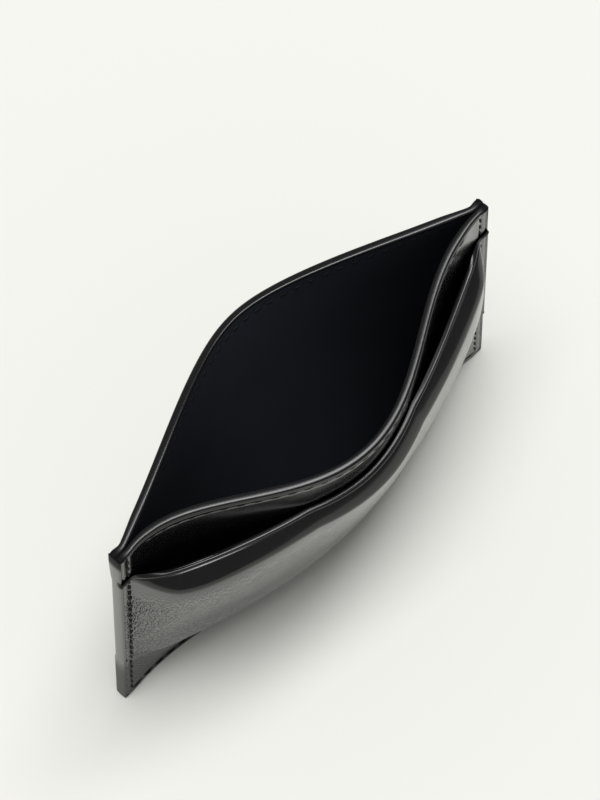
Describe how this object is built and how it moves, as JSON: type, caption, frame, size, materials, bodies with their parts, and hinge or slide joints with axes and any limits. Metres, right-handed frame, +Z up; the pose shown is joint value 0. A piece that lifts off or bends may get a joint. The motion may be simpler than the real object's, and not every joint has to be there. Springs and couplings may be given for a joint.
{
  "type": "card holder",
  "caption": "Slim leather card holder standing with its central pocket bowed open, with a card pocket leaf on its front, painted edges and stitched seams.",
  "frame": {"origin": "middle of the bottom painted edge's flat underside, where the holder stands", "axes": "+X along the width, +Y towards the back wall, +Z up towards the open mouth"},
  "size_m": [0.1, 0.0378, 0.0749],
  "materials": {
    "calf_leather": "fine-grained black calf, semi-matt",
    "lining_leather": "smooth matt black lining leather",
    "edge_paint": "glossy black edge paint",
    "polyester_thread": "black filament thread",
    "bond_film": "dried contact cement"
  },
  "bodies": {
    "root": {"back_panel": "calf_leather", "back_lining": "lining_leather", "front_panel": "calf_leather", "front_lining": "lining_leather", "pocket_leaf": "calf_leather", "hem_bond": "bond_film", "back_rim_edge_paint": "edge_paint", "front_rim_edge_paint": "edge_paint", "pocket_mouth_edge_paint": "edge_paint", "pocket_hem_edge_paint": "edge_paint", "left_edge_paint": "edge_paint", "right_edge_paint": "edge_paint", "bottom_edge_paint": "edge_paint", "back_rim_needle_thread": "polyester_thread", "back_rim_bobbin_thread": "polyester_thread", "front_rim_needle_thread": "polyester_thread", "front_rim_bobbin_thread": "polyester_thread", "perimeter_needle_thread": "polyester_thread", "perimeter_bobbin_thread": "polyester_thread"}
  },
  "joints": []
}
